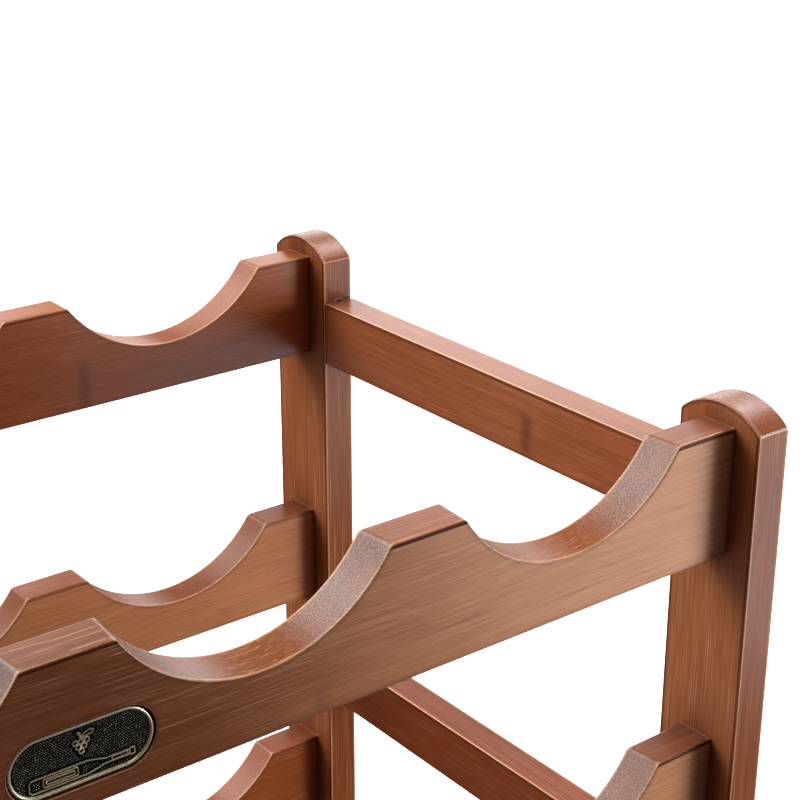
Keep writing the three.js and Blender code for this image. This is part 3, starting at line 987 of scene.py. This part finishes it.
def build_badge():
    low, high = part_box("badge_plate")
    x, _, z = middle(low, high)
    centre = (x, z)
    size = (high.x - low.x, high.z - low.z)
    front, back = low.y, high.y
    profile = [(0.2 * MM, back), (0, back - 0.2 * MM), (0, front + BADGE_RIM_RISE)]
    for i in range(1, 9):
        turn = math.pi * i / 8
        inset = BADGE_RIM_BEAD * (1 - math.cos(turn)) / 2
        profile.append((inset, front + BADGE_RIM_RISE * (1 - math.sin(turn))))
    field_y = front + BADGE_FIELD_DEPTH
    profile.append((BADGE_RIM, field_y + 0.1 * MM))
    rim = badge_shell("badge_rim", centre, size, profile)
    metal = brass()
    dress(rim, "badge_plate", metal)

    field_size = (size[0] - 2 * BADGE_RIM, size[1] - 2 * BADGE_RIM)
    field_profile = [(0, field_y + 0.08 * MM), (0, field_y + 0.02 * MM), (0.05 * MM, field_y)]
    black = black_field(field_y)
    dress(badge_shell("badge_field", centre, field_size, field_profile), "badge_plate", black)

    lines = emblem()
    relief = field_y - BADGE_RELIEF
    ground = field_y + 0.03 * MM  # the feet of the relief, a little way into the field
    field = badge_relief("badge_knurl", lambda bm: knurl(bm, centre, field_size, ground, relief, lines))
    dress(field, "badge_plate", black)

    def draw_lines(bm):
        for line in lines:
            points = [(centre[0] + x, centre[1] + z) for x, z in line]
            ridge(bm, points, EMBLEM_LINE, ground, relief - 0.04 * MM)

    emblem_piece = badge_relief("badge_emblem", draw_lines)
    dress(emblem_piece, "badge_plate", metal)


def dress_pad():
    """The pad's CAD solid is shown as it is, in black foam."""
    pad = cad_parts["badge_adhesive_pad"]
    pad.data.materials.clear()
    pad.data.materials.append(foam())


# ---- stage, light and camera ----

FLOOR_RADIUS = 5
SWEEP_RADIUS = 2
WALL_HEIGHT = 6
LIGHTS_TARGET = Vector((0.15, 0, 0.32))


def build_floor():
    """A round floor of white paper that sweeps up into a wall. It shines on nothing and casts nothing."""
    bm = bmesh.new()
    sweep = arc((FLOOR_RADIUS, SWEEP_RADIUS), SWEEP_RADIUS, -math.pi / 2, 0, 6)
    profile = [(0.5, 0), *sweep, (FLOOR_RADIUS + SWEEP_RADIUS, WALL_HEIGHT)]
    angles = [math.radians(7.5 * k) for k in range(48)]
    rings = [[bm.verts.new((x * math.cos(t), x * math.sin(t), z)) for t in angles] for x, z in profile]
    for inner, outer in zip(rings, rings[1:]):
        for k in range(len(angles)):
            bm.faces.new((inner[k - 1], outer[k - 1], outer[k], inner[k]))
    bm.faces.new(rings[0])
    mesh = bpy.data.meshes.new("floor")
    bm.to_mesh(mesh)
    bm.free()
    mesh.shade_smooth()
    floor = new_object("floor", mesh)
    s = Shader("floor_paper")
    mottle = s.noise(s.node("ShaderNodeTexCoord").outputs["Object"], 3, 0.5, scale=30)
    s.set("Base Color", s.ramp(mottle, [(0.3, (0.90, 0.90, 0.90)), (0.7, (0.93, 0.93, 0.93))]))
    s.set("Roughness", 0.9)
    s.set("Emission Color", (1, 1, 1, 1))
    s.set("Emission Strength", 1.0)
    mesh.materials.append(s.material)
    for kind in ("diffuse", "glossy", "shadow"):
        setattr(floor, f"visible_{kind}", False)


def build_world():
    world = bpy.data.worlds.new("studio")
    bpy.context.scene.world = world
    world.use_nodes = True
    world.node_tree.nodes["Background"].inputs["Color"].default_value = (1, 1, 1, 1)
    world.node_tree.nodes["Background"].inputs["Strength"].default_value = 0.09


def softbox(name, azimuth, elevation, distance, size, power):
    """A square light that looks at the rack's upper right. Azimuth 0 is in front of the rack, 90 to its
    right."""
    a, e = math.radians(azimuth), math.radians(elevation)
    toward = Vector((math.sin(a) * math.cos(e), -math.cos(a) * math.cos(e), math.sin(e)))
    light = bpy.data.lights.new(name, "AREA")
    light.size = size
    light.energy = power
    lamp = new_object(name, light)
    lamp.location = LIGHTS_TARGET + toward * distance
    lamp.rotation_euler = toward.to_track_quat("Z", "Y").to_euler()
    lamp.visible_camera = False


# The photo's view, as fitted to the rack's proportions.
CAMERA_AZIMUTH = -38.104
CAMERA_ELEVATION = 22.448
CAMERA_ROLL = 0.168
CAMERA_LENS = 81.2
CAMERA_PLACE = Vector((-0.1532, -0.4236, 0.5690))
CAMERA_SHIFT = (-0.0075, 0.0375)


def build_camera():
    data = bpy.data.cameras.new("camera")
    data.lens = CAMERA_LENS
    data.sensor_width = 36
    data.shift_x, data.shift_y = CAMERA_SHIFT
    data.clip_start = 0.01
    camera = new_object("camera", data)
    turn = Matrix.Rotation(math.radians(CAMERA_AZIMUTH), 4, "Z")
    tilt = Matrix.Rotation(math.radians(90 - CAMERA_ELEVATION), 4, "X")
    roll = Matrix.Rotation(math.radians(CAMERA_ROLL), 4, "Z")
    camera.matrix_world = Matrix.Translation(CAMERA_PLACE) @ turn @ tilt @ roll
    bpy.context.scene.camera = camera


dress_pad()
build_wood()
build_fasteners()
build_badge()
build_floor()
build_world()
softbox("key", 48, 5, 0.75, 0.25, 3.3)
softbox("low_front", 42, -16, 0.8, 0.3, 0.85)
softbox("left", -112, 18, 2, 1.2, 20)
softbox("rim", -150, 43, 2, 0.9, 22)
softbox("low_left", -105, -30, 2, 1, 4)
softbox("back", 168, 20, 2, 0.7, 5.7)
softbox("back_right", 138, 12, 2, 0.8, 6.5)
softbox("crown", 110, 45, 2, 0.45, 17)
softbox("top", 0, 88, 2, 0.8, 20)
build_camera()
bpy.context.scene.view_settings.view_transform = "Standard"
